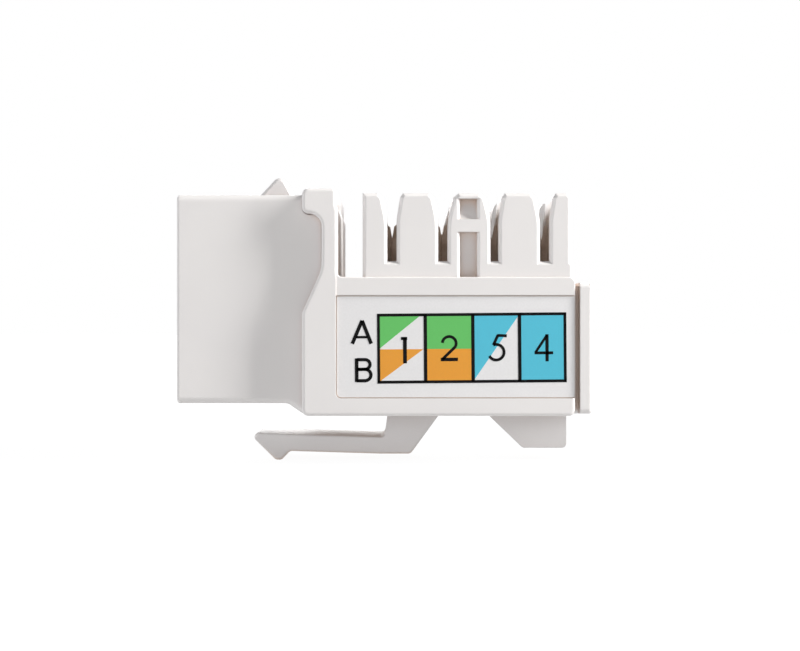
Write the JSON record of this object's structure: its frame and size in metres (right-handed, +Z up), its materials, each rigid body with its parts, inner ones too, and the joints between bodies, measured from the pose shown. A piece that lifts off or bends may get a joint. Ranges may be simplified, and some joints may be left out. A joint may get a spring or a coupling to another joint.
{
  "type": "keystone jack",
  "caption": "Snap-in modular network jack: plug port in the nose, panel latch below, two rows of punch-down wire slots on top.",
  "frame": {"origin": "centre of the nose's front face, in the mouth of the plug port; the nose is centred on it in Y and Z", "axes": "+X from the plug face to the back plate, +Y towards the unlabelled cheek, +Z up towards the wire slots"},
  "size_m": [0.0317, 0.0166, 0.0224],
  "materials": {
    "housing": "satin white moulded plastic",
    "carrier": "satin off-white moulded plastic",
    "board": "green solder mask on glass-fibre board",
    "label": "printed film label",
    "gold": "gold-plated bronze wire",
    "blade": "tin-plated bronze"
  },
  "bodies": {
    "jack": {"front_housing": "housing", "idc_housing": "housing", "contact_carrier": "carrier", "circuit_board": "board", "wiring_label": "label", "jack_contact_1": "gold", "jack_contact_2": "gold", "jack_contact_3": "gold", "jack_contact_4": "gold", "jack_contact_5": "gold", "jack_contact_6": "gold", "jack_contact_7": "gold", "jack_contact_8": "gold", "idc_contact_1": "blade", "idc_contact_2": "blade", "idc_contact_3": "blade", "idc_contact_4": "blade", "idc_contact_5": "blade", "idc_contact_6": "blade", "idc_contact_7": "blade", "idc_contact_8": "blade"},
    "latch": {"latch_arm": "housing"}
  },
  "joints": [
    {"name": "latch_flex", "type": "hinge", "parent": "jack", "child": "latch", "pos_m": [0.0156, 0, -0.01147], "axis": [0, 1, 0], "range_deg": [0, 12], "stiffness_Nm_per_rad": 0.35}
  ]
}
